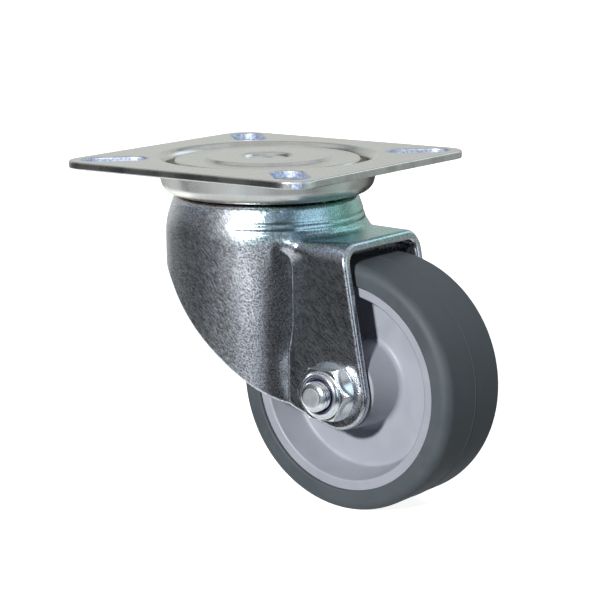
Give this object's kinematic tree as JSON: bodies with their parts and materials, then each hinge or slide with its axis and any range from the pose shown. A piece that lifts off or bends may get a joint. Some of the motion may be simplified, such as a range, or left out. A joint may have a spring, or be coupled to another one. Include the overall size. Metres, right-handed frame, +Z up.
{
  "type": "swivel plate caster",
  "caption": "Small swivel caster: square slotted top plate on a double ball race, pressed zinc-plated fork, and a grey wheel with a plastic hub on a bolted axle.",
  "frame": {"origin": "on the swivel axis, in the plane of the plate's top mounting face", "axes": "+Z up along the swivel axis; +X the way the wheel trails at rest; the axle runs along Y, its lock nut on the -Y side"},
  "size_m": [0.08, 0.06, 0.0683],
  "materials": {
    "plate_zinc": "satin zinc plating on pressed steel",
    "fork_zinc": "bright zinc plating on pressed steel, fine grain",
    "fastener_zinc": "bright blue-white zinc plating",
    "steel": "plain drawn steel",
    "ball_steel": "polished, greased",
    "hub_plastic": "moulded, semi-matte",
    "tyre_rubber": "moulded thermoplastic rubber, satin",
    "nylon": "moulded nylon"
  },
  "bodies": {
    "plate": {"top_plate": "plate_zinc"},
    "swivel": {"fork": "fork_zinc", "race_cap": "plate_zinc", "kingpin": "fastener_zinc", "kingpin_spacer": "steel", "axle_sleeve": "steel", "axle_bolt": "fastener_zinc", "lock_nut": "fastener_zinc", "nut_insert": "nylon"},
    "wheel": {"wheel_hub": "hub_plastic", "tyre": "tyre_rubber"},
    "upper_balls": {"upper_ball_01": "ball_steel", "upper_ball_02": "ball_steel", "upper_ball_03": "ball_steel", "upper_ball_04": "ball_steel", "upper_ball_05": "ball_steel", "upper_ball_06": "ball_steel", "upper_ball_07": "ball_steel", "upper_ball_08": "ball_steel", "upper_ball_09": "ball_steel", "upper_ball_10": "ball_steel", "upper_ball_11": "ball_steel", "upper_ball_12": "ball_steel", "upper_ball_13": "ball_steel", "upper_ball_14": "ball_steel", "upper_ball_15": "ball_steel", "upper_ball_16": "ball_steel", "upper_ball_17": "ball_steel", "upper_ball_18": "ball_steel", "upper_ball_19": "ball_steel", "upper_ball_20": "ball_steel", "upper_ball_21": "ball_steel", "upper_ball_22": "ball_steel"},
    "lower_balls": {"lower_ball_01": "ball_steel", "lower_ball_02": "ball_steel", "lower_ball_03": "ball_steel", "lower_ball_04": "ball_steel", "lower_ball_05": "ball_steel", "lower_ball_06": "ball_steel", "lower_ball_07": "ball_steel", "lower_ball_08": "ball_steel", "lower_ball_09": "ball_steel", "lower_ball_10": "ball_steel", "lower_ball_11": "ball_steel", "lower_ball_12": "ball_steel", "lower_ball_13": "ball_steel", "lower_ball_14": "ball_steel", "lower_ball_15": "ball_steel", "lower_ball_16": "ball_steel", "lower_ball_17": "ball_steel", "lower_ball_18": "ball_steel"}
  },
  "joints": [
    {"name": "swivel", "type": "hinge", "parent": "plate", "child": "swivel", "pos_m": [0, 0, 0], "axis": [0, 0, 1], "continuous": true},
    {"name": "wheel_spin", "type": "hinge", "parent": "swivel", "child": "wheel", "pos_m": [0.025, 0, -0.0433], "axis": [0, 1, 0], "continuous": true},
    {"name": "upper_ball_ring", "type": "hinge", "parent": "plate", "child": "upper_balls", "pos_m": [0, 0, 0], "axis": [0, 0, 1], "continuous": true},
    {"name": "lower_ball_ring", "type": "hinge", "parent": "plate", "child": "lower_balls", "pos_m": [0, 0, 0], "axis": [0, 0, 1], "continuous": true}
  ],
  "couplings": [
    {"joint": "upper_ball_ring", "follows": "swivel", "ratio": 0.5},
    {"joint": "lower_ball_ring", "follows": "swivel", "ratio": 0.5}
  ]
}
